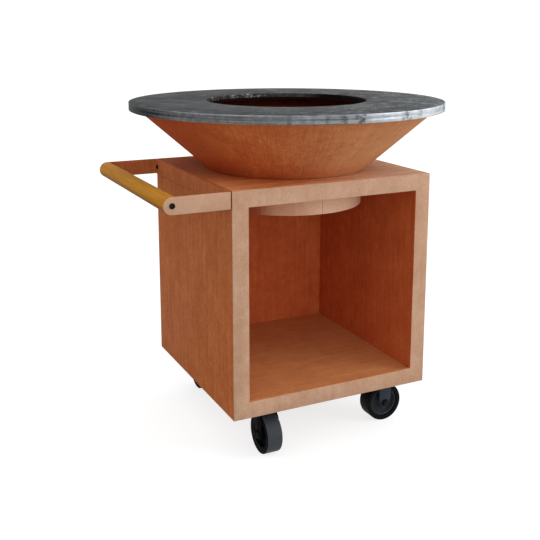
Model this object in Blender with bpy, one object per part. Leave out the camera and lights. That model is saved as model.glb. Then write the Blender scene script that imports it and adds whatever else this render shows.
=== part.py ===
"""Grill table: a round steel cooking plate on a cone fire bowl, on a wheeled steel cabinet with a firewood bay."""

import math

import bmesh
import bpy
from mathutils import Matrix, Vector

# Driving dimensions, in metres. Heights are from the ground, plan sizes from the cooking plate's axis.
gap = 0.0003                    # left between two pieces that touch
running_gap = 0.0003            # left round a pin that turns in its hole
loose_gap = 0.002               # all round a piece that is lifted out by hand

# Cooking plate
plate_diameter = 1.000
plate_thickness = 0.025
plate_hole_diameter = 0.510
plate_edge_chamfer = 0.0015
locator_count = 3
locator_length = 0.045
locator_thickness = 0.010
locator_depth = 0.022
locator_chamfer = 0.005

# Fire bowl
bowl_height = 0.189
bowl_mouth_diameter = 0.940
bowl_foot_diameter = 0.510
bowl_wall = 0.004
bowl_floor = 0.005
bowl_rim_width = 0.030
bowl_rim_thickness = 0.006
drain_diameter = 0.030
foot_ring_diameter = 0.460
foot_ring_wall = 0.004
foot_ring_depth = 0.022

# Cabinet
cabinet_width = 0.664
cabinet_depth = 0.650
cabinet_height = 0.680
sheet = 0.003
frame_width = 0.050
frame_lip = 0.012
fold_depth = 0.015
fold_relief = 0.004
rear_space = 0.050              # between the bay's rear wall and the back of the cabinet
top_hole_diameter = foot_ring_diameter + 2 * loose_gap

# Heat shield
shield_diameter = 0.486
shield_wall = 0.003
shield_drop = 0.113             # from the cabinet's top face to the ring's lower edge
shield_seam = 0.0012
shield_hole_play = 0.001
pan_thickness = 0.002
pan_flange = 0.018

# Handle
handle_reach = 0.174            # from the cabinet's side to the rod's axis
strip_height = 0.050
strip_thickness = 0.005
strip_bend_radius = 0.008
rod_diameter = 0.050
rod_chamfer = 0.0015
rod_screw_radius = 0.004
rod_screw_bite = 0.040
bracket_bolt_radius = 0.004
bracket_bolt_inset = 0.024
button_head_radius = 0.0085
button_head_height = 0.0045
socket_across = 0.006
socket_depth = 0.0028
small_nut_across = 0.013
small_nut_height = 0.0065

# Castors
castor_height = 0.152
castor_inset_x = 0.134
castor_inset_y = 0.105
castor_trail = 0.042
castor_plate_length = 0.105
castor_plate_width = 0.085
castor_plate_thickness = 0.004
castor_plate_corner = 0.008
castor_bolt_spacing_x = 0.080
castor_bolt_spacing_y = 0.060
castor_bolt_radius = 0.004
castor_bolt_head = 0.0055
race_height = 0.0071
race_outer_radius = 0.031
race_inner_radius = 0.017
kingpin_radius = 0.006
kingpin_shoulder_radius = 0.010
kingpin_head_radius = 0.011
kingpin_head_height = 0.006
fork_thickness = 0.0035
fork_bend_radius = 0.005
fork_inner_width = 0.054
fork_crown_back = 0.034         # from the kingpin away from the wheel
fork_crown_front = 0.040        # from the kingpin towards the wheel
fork_leg_width = 0.045
fork_shoulder_height = 0.112
fork_taper_height = 0.080
fork_eye_radius = 0.016
axle_radius = 0.006
axle_washer_radius = 0.0135
axle_washer_thickness = 0.0015
axle_nut_across = 0.019
axle_nut_height = 0.006
tyre_radius = 0.0625
tyre_width = 0.050
tyre_thickness = 0.015
tyre_shoulder = 0.002
tyre_face_step = 0.004          # the rim lies this far inside the tyre's face
rim_thickness = 0.0045
web_thickness = 0.018
hub_radius = 0.018
hub_dish = 0.003

# Facets on a full circle
plate_facets = 60
wheel_facets = 24
race_facets = 20
pin_facets = 12
bolt_facets = 6
bend_steps = 4                  # on a quarter turn
arm_end_steps = 12              # on a half turn

# Which way each wheel trails, in degrees from +X, and its corner of the cabinet
castors = {
    "front_left": (-1, -1, -90),
    "front_right": (1, -1, 0),
    "rear_left": (-1, 1, 90),
    "rear_right": (1, 1, 0),
}

# Places that follow from the sizes above
half_width = cabinet_width / 2
half_depth = cabinet_depth / 2
base_z = castor_height
top_z = base_z + cabinet_height
behind_frame = sheet + gap
liner_x = half_width - frame_width + sheet + gap
liner_back_y = half_depth - rear_space
bay_floor_z = base_z + frame_width - sheet - gap
bay_ceiling_z = top_z - frame_width + sheet + gap
bowl_z = top_z + gap
plate_z = bowl_z + bowl_height + gap
strip_z = top_z - strip_height / 2
rod_x = -half_width - handle_reach
axle_z = tyre_radius * math.cos(math.pi / wheel_facets)    # a tyre stands on a flat between two corners
castor_top_z = base_z - gap
castor_under_z = castor_top_z - castor_plate_thickness
fork_top_z = castor_under_z - 2 * gap - race_height
fork_half = fork_inner_width / 2 + fork_thickness
rim_radius = tyre_radius - tyre_thickness - gap
left_reach = half_width + handle_reach + strip_height / 2
right_reach = plate_diameter / 2
axis_x = (left_reach - right_reach) / 2    # puts the origin under the middle of the whole table


def linear(value):
    value = value / 255
    return value / 12.92 if value <= 0.04045 else ((value + 0.055) / 1.055) ** 2.4


def finish(name, red, green, blue, roughness, metallic=0.0):
    material = bpy.data.materials.new(name)
    material.use_nodes = True
    shader = material.node_tree.nodes["Principled BSDF"]
    shader.inputs["Base Color"].default_value = (linear(red), linear(green), linear(blue), 1.0)
    shader.inputs["Roughness"].default_value = roughness
    shader.inputs["Metallic"].default_value = metallic
    return material


def empty(name, location, parent=None, turn=0.0):
    point = bpy.data.objects.new(name, None)
    point.location = location
    point.rotation_euler = (0.0, 0.0, turn)
    point.parent = parent
    bpy.context.scene.collection.objects.link(point)
    return point


def make_object(name, bm, material, parent, location=(0.0, 0.0, 0.0)):
    mesh = bpy.data.meshes.new(name)
    bm.to_mesh(mesh)
    bm.free()
    mesh.shade_smooth()
    mesh.set_sharp_from_angle(angle=math.radians(30))
    mesh.materials.append(material)
    return place_mesh(name, mesh, parent, location)


def place_mesh(name, mesh, parent, location=(0.0, 0.0, 0.0)):
    obj = bpy.data.objects.new(name, mesh)
    obj.location = location
    obj.parent = parent
    bpy.context.scene.collection.objects.link(obj)
    return obj


def as_cutter(obj):
    obj.hide_render = True
    obj.display_type = "WIRE"
    return obj


def boolean(obj, other, operation="DIFFERENCE"):
    modifier = obj.modifiers.new(operation.lower(), "BOOLEAN")
    modifier.operation = operation
    modifier.solver = "EXACT"
    modifier.object = as_cutter(other)
    return obj


def applied(obj):
    """The object's evaluated mesh, for copies that share it. The object and its cutters go."""
    bpy.context.view_layer.update()
    evaluated = obj.evaluated_get(bpy.context.evaluated_depsgraph_get())
    mesh = bpy.data.meshes.new_from_object(evaluated)
    for cutter in [modifier.object for modifier in obj.modifiers if modifier.type == "BOOLEAN"]:
        bpy.data.objects.remove(cutter)
    bpy.data.objects.remove(obj)
    return mesh


def turned(profile, facets, axis="Z", turn=0.0):
    """A bmesh turned from (radius, height) points. A profile that starts on the axis also ends there."""
    bm = bmesh.new()
    start = Matrix.Rotation(turn, 3, "Z")
    corners = [bm.verts.new(start @ Vector((radius, 0.0, height))) for radius, height in profile]
    closing = [(corners[-1], corners[0])] if profile[0][0] > 0 else []
    edges = [bm.edges.new(pair) for pair in list(zip(corners, corners[1:])) + closing]
    bmesh.ops.spin(
        bm, geom=corners + edges, cent=(0, 0, 0), axis=(0, 0, 1),
        angle=math.tau, steps=facets, use_merge=True,
    )
    bmesh.ops.remove_doubles(bm, verts=bm.verts, dist=1e-6)
    bmesh.ops.recalc_face_normals(bm, faces=bm.faces)
    if axis == "Y":
        bmesh.ops.rotate(bm, verts=bm.verts, cent=(0, 0, 0), matrix=Matrix.Rotation(math.pi / 2, 3, "X"))
    if axis == "X":
        bmesh.ops.rotate(bm, verts=bm.verts, cent=(0, 0, 0), matrix=Matrix.Rotation(math.pi / 2, 3, "Y"))
    return bm


def cylinder(name, radius, length, material, parent, centre, axis="Z", facets=pin_facets):
    """A plain round bar or cutter, centred on its middle."""
    ends = [(0.0, length / 2), (radius, length / 2), (radius, -length / 2), (0.0, -length / 2)]
    return make_object(name, turned(ends, facets, axis), material, parent, centre)


def hexagon(name, across, height, material, parent, centre, axis="Z"):
    """A six-sided nut, bolt head or socket of this size across its flats, centred on its middle."""
    ends = [(0.0, height / 2), (across / math.sqrt(3), height / 2), (across / math.sqrt(3), -height / 2),
            (0.0, -height / 2)]
    return make_object(name, turned(ends, 6, axis), material, parent, centre)


def drill(obj, radius, length, centre, axis="Z", facets=pin_facets):
    hole = cylinder(obj.name + "_hole", radius, length, obj.data.materials[0], obj.parent, centre, axis, facets)
    return boolean(obj, hole)


def thicken(obj, thickness):
    """Gives a folded surface its sheet thickness, on the side away from its normals."""
    solid = obj.modifiers.new("sheet", "SOLIDIFY")
    solid.solidify_mode = "NON_MANIFOLD"
    solid.nonmanifold_thickness_mode = "CONSTRAINTS"
    solid.thickness = thickness
    solid.offset = -1.0
    return obj


def panel(name, centre, across, up, width, height, folds, material, parent):
    """A flat sheet with its outer face at centre. folds gives the depth and end relief of each folded edge."""
    centre, across, up = Vector(centre), Vector(across), Vector(up)
    back = -across.cross(up)
    bm = bmesh.new()
    outline, lips = [], []
    corners = {"bottom": (-1, -1), "right": (1, -1), "top": (1, 1), "left": (-1, 1)}
    ends = list(corners.values())
    for index, side in enumerate(corners):
        first, last = ends[index], ends[(index + 1) % 4]
        start = centre + across * (first[0] * width / 2) + up * (first[1] * height / 2)
        stop = centre + across * (last[0] * width / 2) + up * (last[1] * height / 2)
        outline.append(bm.verts.new(start))
        if side in folds:
            depth, relief = folds[side]
            along = (stop - start).normalized()
            fold = [bm.verts.new(start + along * relief), bm.verts.new(stop - along * relief)]
            outline += fold
            lips.append((fold, depth))
    bm.faces.new(outline)
    for (first, last), depth in lips:
        edge = [bm.verts.new(first.co + back * depth), bm.verts.new(last.co + back * depth)]
        bm.faces.new((last, first, edge[0], edge[1]))
    return thicken(make_object(name, bm, material, parent), sheet)


def build_cooking_plate(parent):
    chamfer = plate_edge_chamfer
    outer, inner = plate_diameter / 2, plate_hole_diameter / 2
    profile = [
        (inner, chamfer), (inner + chamfer, 0.0), (outer - chamfer, 0.0), (outer, chamfer),
        (outer, plate_thickness - chamfer), (outer - chamfer, plate_thickness),
        (inner + chamfer, plate_thickness), (inner, plate_thickness - chamfer),
    ]
    make_object("cooking_plate", turned(profile, plate_facets), steel, parent)
    seat = bowl_mouth_diameter / 2 - bowl_rim_width - loose_gap
    for index in range(locator_count):
        build_locator(f"plate_locator_{index + 1}", seat, math.tau * index / locator_count, parent)


def build_locator(name, seat, angle, parent):
    """A block under the plate that centres it inside the bowl's rim, chamfered to lead in."""
    bm = bmesh.new()
    bmesh.ops.create_cube(bm, size=1.0)
    bmesh.ops.scale(bm, vec=(locator_thickness, locator_length, locator_depth), verts=bm.verts)
    lowest = [edge for edge in bm.edges if all(corner.co.z < 0 and corner.co.x > 0 for corner in edge.verts)]
    bmesh.ops.bevel(bm, geom=lowest, offset=locator_chamfer, segments=1, affect="EDGES")
    reach = math.sqrt(seat ** 2 - (locator_length / 2) ** 2)
    middle = (reach - locator_thickness / 2, 0.0, -gap - locator_depth / 2)
    bmesh.ops.translate(bm, vec=middle, verts=bm.verts)
    bmesh.ops.rotate(bm, verts=bm.verts, cent=(0, 0, 0), matrix=Matrix.Rotation(angle, 3, "Z"))
    make_object(name, bm, steel, parent)


def build_fire_bowl(parent):
    mouth, foot = bowl_mouth_diameter / 2, bowl_foot_diameter / 2
    slope = (mouth - foot) / bowl_height
    wall = bowl_wall * math.sqrt(1 + slope ** 2)    # the wall measured level

    def inside(height):
        return foot + slope * height - wall

    rim_under = bowl_height - bowl_rim_thickness
    profile = [
        (drain_diameter / 2, 0.0), (foot, 0.0), (mouth, bowl_height), (mouth - bowl_rim_width, bowl_height),
        (mouth - bowl_rim_width, rim_under), (inside(rim_under), rim_under),
        (inside(bowl_floor), bowl_floor), (drain_diameter / 2, bowl_floor),
    ]
    make_object("fire_bowl", turned(profile, plate_facets), rust_bowl, parent)
    outer = foot_ring_diameter / 2
    inner = outer - foot_ring_wall
    ring = [(inner, -gap), (outer, -gap), (outer, -gap - foot_ring_depth), (inner, -gap - foot_ring_depth)]
    make_object("bowl_foot_ring", turned(ring, plate_facets), rust_bowl, parent)


def build_front_frame(parent):
    """A flat frame, whose inner edge is folded back into a lip that leads into the bay."""
    bm = bmesh.new()
    loops = []
    for inset, depth in ((0.0, 0.0), (frame_width, 0.0), (frame_width, frame_lip)):
        x, low, high = half_width - inset, base_z + inset, top_z - inset
        loops.append([bm.verts.new((side * x, depth - half_depth, z))
                      for side, z in ((-1, low), (1, low), (1, high), (-1, high))])
    for outer, inner in zip(loops, loops[1:]):
        for index in range(4):
            after = (index + 1) % 4
            bm.faces.new((outer[index], outer[after], inner[after], inner[index]))
    thicken(make_object("front_frame", bm, rust_front, parent), sheet)


def build_shell(parent):
    """The outer sheets of the cabinet, each with its folds inside."""
    depth = cabinet_depth - behind_frame
    middle_y = behind_frame / 2
    inner_width = cabinet_width - 2 * (sheet + gap)
    tray_depth = depth - sheet - gap
    tray_y = middle_y - (sheet + gap) / 2
    clear = fold_depth + fold_relief
    all_round = {side: (fold_depth, fold_relief) for side in ("bottom", "right", "top", "left")}
    panel("left_side_panel", (-half_width, middle_y, base_z + cabinet_height / 2), (0, -1, 0), (0, 0, 1),
          depth, cabinet_height, {"right": (fold_depth, clear)}, rust_side, parent)
    panel("right_side_panel", (half_width, middle_y, base_z + cabinet_height / 2), (0, 1, 0), (0, 0, 1),
          depth, cabinet_height, {"left": (fold_depth, clear)}, rust_side, parent)
    panel("rear_panel", (0.0, half_depth, base_z + cabinet_height / 2), (-1, 0, 0), (0, 0, 1),
          inner_width, cabinet_height, {"left": (fold_depth, clear), "right": (fold_depth, clear)},
          rust_side, parent)
    top = panel("top_panel", (0.0, tray_y, top_z), (1, 0, 0), (0, 1, 0),
                inner_width, tray_depth, all_round, rust_top, parent)
    drill(top, top_hole_diameter / 2, 4 * sheet, (0.0, 0.0, top_z), facets=plate_facets)
    base = panel("base_panel", (0.0, tray_y, base_z), (1, 0, 0), (0, -1, 0),
                 inner_width, tray_depth, all_round, rust_side, parent)
    for side_x, side_y, _ in castors.values():
        for x, y in castor_bolts(side_x, side_y):
            drill(base, castor_bolt_radius + gap, 4 * sheet, (x, y, base_z), facets=bolt_facets)
    rail_length = inner_width - 2 * (sheet + gap)
    rail_width = castor_bolt_spacing_y + 2 * small_nut_across
    rail_z = bay_floor_z - sheet - gap
    rail_fold = rail_z - base_z - sheet - gap
    for name, side_y in (("front_cross_rail", -1), ("rear_cross_rail", 1)):
        panel(name, (0.0, side_y * (half_depth - castor_inset_y), rail_z), (1, 0, 0), (0, 1, 0),
              rail_length, rail_width, {"top": (rail_fold, fold_relief), "bottom": (rail_fold, fold_relief)},
              rust_side, parent)


def build_bay(parent):
    """The lining of the firewood bay. Its open end laps round the lip of the front frame."""
    front_y = -half_depth + behind_frame
    wall_back_y = liner_back_y + fold_depth
    wall_depth = wall_back_y - front_y
    wall_y = (wall_back_y + front_y) / 2
    low, high = bay_floor_z + gap, bay_ceiling_z - gap
    height, middle_z = high - low, (high + low) / 2
    upright = {"left": (fold_depth, fold_relief), "right": (fold_depth, fold_relief)}
    all_round = {side: (fold_depth, fold_relief) for side in ("bottom", "right", "top", "left")}
    panel("bay_left_wall", (-liner_x, wall_y, middle_z), (0, 1, 0), (0, 0, 1),
          wall_depth, height, upright, rust_bay, parent)
    panel("bay_right_wall", (liner_x, wall_y, middle_z), (0, -1, 0), (0, 0, 1),
          wall_depth, height, upright, rust_bay, parent)
    panel("bay_rear_wall", (0.0, liner_back_y, middle_z), (1, 0, 0), (0, 0, 1),
          2 * (liner_x - gap), height, all_round, rust_bay, parent)
    floor_width = 2 * (liner_x + sheet)
    panel("bay_floor", (0.0, wall_y, bay_floor_z), (1, 0, 0), (0, 1, 0),
          floor_width, wall_depth, {"bottom": (fold_depth, 0.0), "top": (fold_depth, 0.0)}, rust_floor, parent)
    ceiling = panel("bay_ceiling", (0.0, wall_y, bay_ceiling_z), (1, 0, 0), (0, -1, 0),
                    floor_width, wall_depth, all_round, rust_bay, parent)
    drill(ceiling, shield_diameter / 2 + shield_hole_play, 4 * sheet, (0.0, 0.0, bay_ceiling_z),
          facets=plate_facets)


def build_heat_shield(parent):
    """A rolled band with an open butt seam, hung under the top, and the pan that closes it."""
    outer = shield_diameter / 2
    inner = outer - shield_wall
    low, high = top_z - shield_drop, top_z - sheet - gap
    band = make_object("heat_shield_ring", turned([(inner, low), (outer, low), (outer, high), (inner, high)],
                                                  plate_facets), rust_front, parent)
    bm = bmesh.new()
    bmesh.ops.create_cube(bm, size=1.0)
    bmesh.ops.scale(bm, vec=(shield_seam, 8 * shield_wall, 2 * shield_drop), verts=bm.verts)
    seam = make_object("heat_shield_ring_seam", bm, rust_front, parent, (0.0, -outer, (low + high) / 2))
    boolean(band, seam)
    edge = inner - gap
    pan = [
        (0.0, low), (edge, low), (edge, low + pan_flange), (edge - pan_thickness, low + pan_flange),
        (edge - pan_thickness, low + pan_thickness), (0.0, low + pan_thickness),
    ]
    make_object("heat_shield_pan", turned(pan, plate_facets), rust_bay, parent)


def build_handle(parent):
    build_bracket(parent)
    length = cabinet_depth - 2 * (strip_thickness + gap)
    radius, chamfer = rod_diameter / 2, rod_chamfer
    ends = [
        (0.0, length / 2), (radius - chamfer, length / 2), (radius, length / 2 - chamfer),
        (radius, -length / 2 + chamfer), (radius - chamfer, -length / 2), (0.0, -length / 2),
    ]
    rod = make_object("handle_rod", turned(ends, 24, "Y"), oak, parent, (rod_x, 0.0, strip_z))
    bore = rod_screw_bite + gap
    for side in (-1, 1):
        drill(rod, rod_screw_radius + gap, 2 * bore, (rod_x, side * length / 2, strip_z), "Y")
    shank = strip_thickness + 2 * gap + rod_screw_bite
    for name, side in (("rod_screw_front", -1), ("rod_screw_rear", 1)):
        button_screw(name, rod_screw_radius, shank, parent, (rod_x, side * (half_depth + gap), strip_z),
                     Vector((0, side, 0)))
    grip = strip_thickness + sheet + 3 * gap
    head_x = -half_width - 2 * gap - strip_thickness
    for name, side in (("bracket_bolt_front", -1), ("bracket_bolt_rear", 1)):
        centre = (head_x, side * (half_depth - bracket_bolt_inset), strip_z)
        bolt = button_screw(name, bracket_bolt_radius, grip + 1.5 * small_nut_height, parent, centre,
                            Vector((-1, 0, 0)))
        nut_x = head_x + grip + small_nut_height / 2
        nut = hexagon(name + "_nut", small_nut_across, small_nut_height, black_steel, parent,
                      (nut_x, centre[1], strip_z), "X")
        boolean(bolt, nut, "UNION")
        drill(bpy.data.objects["left_side_panel"], bracket_bolt_radius + gap, 4 * sheet,
              (-half_width, centre[1], strip_z), "X")


def build_bracket(parent):
    """One strip bent to a U: its back lies on the cabinet's side, and its arms end round, about the rod."""
    bm = bmesh.new()
    back_x = -half_width - gap
    low, high, radius = strip_z - strip_height / 2, strip_z + strip_height / 2, strip_height / 2
    columns = []
    bend = strip_bend_radius
    for side in (-1, 1):
        for step in range(bend_steps + 1):
            angle = math.pi / 2 * (step / bend_steps - (side < 0))
            x = back_x - bend + bend * math.cos(angle)
            y = side * (half_depth - bend) + bend * math.sin(angle)
            columns.append((bm.verts.new((x, y, low)), bm.verts.new((x, y, high))))
    for column, after in zip(columns, columns[1:]):
        bm.faces.new((column[0], after[0], after[1], column[1]))
    for side, column in ((-1, columns[0]), (1, columns[-1])):
        angles = [math.pi / 2 + math.pi * step / arm_end_steps for step in range(arm_end_steps + 1)]
        end = [bm.verts.new((rod_x + radius * math.cos(angle), side * half_depth, strip_z + radius * math.sin(angle)))
               for angle in angles]
        outline = list(column) + end
        bm.faces.new(outline if side < 0 else outline[::-1])
    bracket = thicken(make_object("handle_bracket", bm, rust_front, parent), strip_thickness)
    for side in (-1, 1):
        drill(bracket, rod_screw_radius + gap, 4 * strip_thickness, (rod_x, side * half_depth, strip_z), "Y")
        drill(bracket, bracket_bolt_radius + gap, 4 * strip_thickness,
              (back_x, side * (half_depth - bracket_bolt_inset), strip_z), "X")


def button_screw(name, radius, length, parent, centre, outward):
    """A socket screw with a domed head. centre is the middle of the head's underside."""
    head, height = button_head_radius, button_head_height
    profile = [
        (0.0, height), (0.55 * head, height), (0.85 * head, 0.7 * height), (head, 0.25 * height), (head, 0.0),
        (radius, 0.0), (radius, -length), (0.0, -length),
    ]
    bm = turned(profile, pin_facets)
    socket = turned([(0.0, height + socket_depth), (socket_across / math.sqrt(3), height + socket_depth),
                     (socket_across / math.sqrt(3), height - socket_depth), (0.0, height - socket_depth)], 6)
    turn = Vector((0, 0, 1)).rotation_difference(outward).to_matrix()
    for part in (bm, socket):
        bmesh.ops.rotate(part, verts=part.verts, cent=(0, 0, 0), matrix=turn)
    screw = make_object(name, bm, black_steel, parent, centre)
    return boolean(screw, make_object(name + "_socket", socket, black_steel, parent, centre))


def castor_bolts(side_x, side_y):
    centre_x = side_x * (half_width - castor_inset_x)
    centre_y = side_y * (half_depth - castor_inset_y)
    return [(centre_x + x * castor_bolt_spacing_x / 2, centre_y + y * castor_bolt_spacing_y / 2)
            for x in (-1, 1) for y in (-1, 1)]


def castor_plate_mesh():
    """The mounting plate with its four bolts, whose nuts lie on the cabinet's base."""
    bm = bmesh.new()
    corners = [(-1, -1), (1, -1), (1, 1), (-1, 1)]
    face = bm.faces.new([bm.verts.new((x * castor_plate_length / 2, y * castor_plate_width / 2, castor_under_z))
                         for x, y in corners])
    bmesh.ops.bevel(bm, geom=list(face.verts), offset=castor_plate_corner, segments=3, affect="VERTICES")
    grown = bmesh.ops.extrude_face_region(bm, geom=list(bm.faces))["geom"]
    raised = [item for item in grown if isinstance(item, bmesh.types.BMVert)]
    bmesh.ops.translate(bm, vec=(0.0, 0.0, castor_plate_thickness), verts=raised)
    bmesh.ops.recalc_face_normals(bm, faces=bm.faces)
    plate = make_object("castor_plate", bm, black_steel, None)
    drill(plate, kingpin_radius + gap, 4 * castor_plate_thickness, (0.0, 0.0, castor_under_z))
    nut_z = base_z + sheet + gap
    low, high = castor_under_z - castor_bolt_head, nut_z + small_nut_height
    overlap = castor_plate_thickness / 4
    for x in (-1, 1):
        for y in (-1, 1):
            place = (x * castor_bolt_spacing_x / 2, y * castor_bolt_spacing_y / 2)
            head_height = castor_bolt_head + overlap
            head = hexagon("bolt_head", small_nut_across, head_height, black_steel, None,
                           (*place, low + head_height / 2))
            shank_low = castor_under_z - castor_bolt_head / 2
            shank_high = high - small_nut_height / 4
            shank = cylinder("bolt_shank", castor_bolt_radius, shank_high - shank_low, black_steel, None,
                             (*place, (shank_low + shank_high) / 2), facets=bolt_facets)
            nut = hexagon("bolt_nut", small_nut_across, small_nut_height, black_steel, None,
                          (*place, (nut_z + high) / 2))
            for piece in (head, shank, nut):
                boolean(plate, piece, "UNION")
    return applied(plate)


def kingpin_mesh():
    top, under = castor_top_z - gap, castor_under_z - gap
    crown, below = fork_top_z + gap, fork_top_z - fork_thickness - gap
    profile = [
        (0.0, top), (kingpin_radius, top), (kingpin_radius, under), (kingpin_shoulder_radius, under),
        (kingpin_shoulder_radius, crown), (kingpin_radius, crown), (kingpin_radius, below),
        (kingpin_head_radius, below), (kingpin_head_radius, below - kingpin_head_height),
        (0.0, below - kingpin_head_height),
    ]
    return applied(make_object("kingpin", turned(profile, pin_facets), bright_steel, None))


def race_mesh():
    low, high = fork_top_z + gap, fork_top_z + gap + race_height
    profile = [(race_inner_radius, low), (race_outer_radius, low), (race_outer_radius, high),
               (race_inner_radius, high)]
    return applied(make_object("race", turned(profile, race_facets), black_steel, None))


def fork_mesh():
    """A pressed fork: a crown under the race and two legs that reach back to the axle."""
    bm = bmesh.new()
    legs = {}
    for side in (-1, 1):
        y = side * fork_half
        legs[side] = [bm.verts.new((-fork_crown_back, y, fork_top_z)), bm.verts.new((fork_crown_front, y, fork_top_z))]
    bm.faces.new((legs[-1][0], legs[-1][1], legs[1][1], legs[1][0]))
    lean = math.atan2(fork_leg_width / 2 - fork_eye_radius, fork_taper_height - axle_z)
    steps = 8
    for side, (rear, front) in legs.items():
        y = side * fork_half
        ahead, behind = castor_trail + fork_leg_width / 2, castor_trail - fork_leg_width / 2
        outline = [(ahead, fork_shoulder_height), (ahead, fork_taper_height)]
        for step in range(steps + 1):
            angle = lean / 2 - (math.pi + lean) * step / steps
            outline.append((castor_trail + fork_eye_radius * math.cos(angle),
                            axle_z + fork_eye_radius * math.sin(angle)))
        outline += [(behind, fork_taper_height), (behind, fork_shoulder_height)]
        edge = [bm.verts.new((x, y, z)) for x, z in outline]
        loop = [rear, front] + edge
        bm.faces.new(loop[::-1] if side < 0 else loop)
    bends = [bm.edges.get(leg) for leg in legs.values()]
    bmesh.ops.bevel(bm, geom=bends, offset=fork_bend_radius, segments=3, profile=0.5, affect="EDGES")
    fork = thicken(make_object("fork", bm, black_steel, None), fork_thickness)
    drill(fork, kingpin_radius + running_gap, 4 * fork_thickness, (0.0, 0.0, fork_top_z))
    drill(fork, axle_radius + gap, 3 * fork_inner_width, (castor_trail, 0.0, axle_z), "Y")
    return applied(fork)


def axle_mesh():
    """The axle bolt with its washers and nuts, centred on the wheel."""
    face = fork_half + gap
    washer = face + axle_washer_thickness
    end = washer + axle_nut_height / 2
    profile = [
        (0.0, end), (axle_radius, end), (axle_radius, washer), (axle_washer_radius, washer),
        (axle_washer_radius, face), (axle_radius, face), (axle_radius, -face), (axle_washer_radius, -face),
        (axle_washer_radius, -washer), (axle_radius, -washer), (axle_radius, -end), (0.0, -end),
    ]
    axle = make_object("axle", turned(profile, pin_facets, "Y"), black_steel, None)
    overlap = axle_washer_thickness / 2
    height = axle_nut_height + overlap
    for side in (-1, 1):
        nut = hexagon("axle_nut", axle_nut_across, height, black_steel, None,
                      (0.0, side * (washer - overlap + height / 2), 0.0), "Y")
        boolean(axle, nut, "UNION")
    return applied(axle)


def wheel_core_mesh():
    """The wheel's rim, recessed web and hub, turned about its axle."""
    bore = axle_radius + running_gap
    hub_face = fork_inner_width / 2 - running_gap
    rim_face = tyre_width / 2 - tyre_face_step
    web, well = web_thickness / 2, rim_radius - rim_thickness
    half = [
        (bore, hub_face), (hub_radius, hub_face), (hub_radius + hub_dish, web), (well, web),
        (well, rim_face), (rim_radius, rim_face),
    ]
    profile = half + [(radius, -height) for radius, height in reversed(half)]
    bm = turned(profile, wheel_facets, "Y", math.pi / wheel_facets)
    return applied(make_object("wheel_core", bm, black_plastic, None))


def tyre_mesh():
    inner, face, edge = tyre_radius - tyre_thickness, tyre_width / 2, tyre_shoulder
    half = [(inner, face), (tyre_radius - edge, face), (tyre_radius, face - edge)]
    profile = half + [(radius, -height) for radius, height in reversed(half)]
    bm = turned(profile, wheel_facets, "Y", math.pi / wheel_facets)
    return applied(make_object("tyre", bm, rubber, None))


def build_castors(cabinet):
    meshes = {
        "plate": castor_plate_mesh(), "kingpin": kingpin_mesh(), "race": race_mesh(), "fork": fork_mesh(),
        "axle": axle_mesh(), "wheel_core": wheel_core_mesh(), "tyre": tyre_mesh(),
    }
    for corner, (side_x, side_y, heading) in castors.items():
        place = (side_x * (half_width - castor_inset_x), side_y * (half_depth - castor_inset_y), 0.0)
        place_mesh(f"castor_plate_{corner}", meshes["plate"], cabinet, place)
        place_mesh(f"kingpin_{corner}", meshes["kingpin"], cabinet, place)
        swivel = empty(f"swivel_{corner}_axis", place, cabinet, math.radians(heading))
        place_mesh(f"swivel_race_{corner}", meshes["race"], swivel)
        place_mesh(f"fork_{corner}", meshes["fork"], swivel)
        place_mesh(f"axle_bolt_{corner}", meshes["axle"], swivel, (castor_trail, 0.0, axle_z))
        wheel = empty(f"wheel_{corner}_axis", (castor_trail, 0.0, axle_z), swivel)
        place_mesh(f"wheel_core_{corner}", meshes["wheel_core"], wheel)
        place_mesh(f"tyre_{corner}", meshes["tyre"], wheel)


for old in list(bpy.data.objects):
    bpy.data.objects.remove(old)

steel = finish("cooking_steel", 108, 110, 112, 0.42, 1.0)
rust_bowl = finish("rust_bowl", 160, 92, 52, 0.75)
rust_front = finish("rust_front", 186, 146, 120, 0.7)
rust_side = finish("rust_side", 148, 84, 50, 0.75)
rust_top = finish("rust_top", 152, 98, 70, 0.75)
rust_bay = finish("rust_bay", 125, 58, 32, 0.8)
rust_floor = finish("rust_floor", 165, 104, 66, 0.75)
oak = finish("oak_rod", 172, 122, 60, 0.5)
black_steel = finish("black_steel", 34, 36, 40, 0.45, 0.6)
bright_steel = finish("zinc_steel", 150, 152, 155, 0.35, 1.0)
black_plastic = finish("wheel_plastic", 28, 30, 33, 0.5)
rubber = finish("tyre_rubber", 48, 51, 55, 0.7)

cabinet_origin = empty("cabinet_axis", (axis_x, 0.0, 0.0))
bowl_origin = empty("fire_bowl_axis", (0.0, 0.0, bowl_z), cabinet_origin)
plate_origin = empty("cooking_plate_axis", (0.0, 0.0, plate_z - bowl_z), bowl_origin)

build_cooking_plate(plate_origin)
build_fire_bowl(bowl_origin)
build_front_frame(cabinet_origin)
build_shell(cabinet_origin)
build_bay(cabinet_origin)
build_heat_shield(cabinet_origin)
build_handle(cabinet_origin)
build_castors(cabinet_origin)
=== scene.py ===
import math

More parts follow.
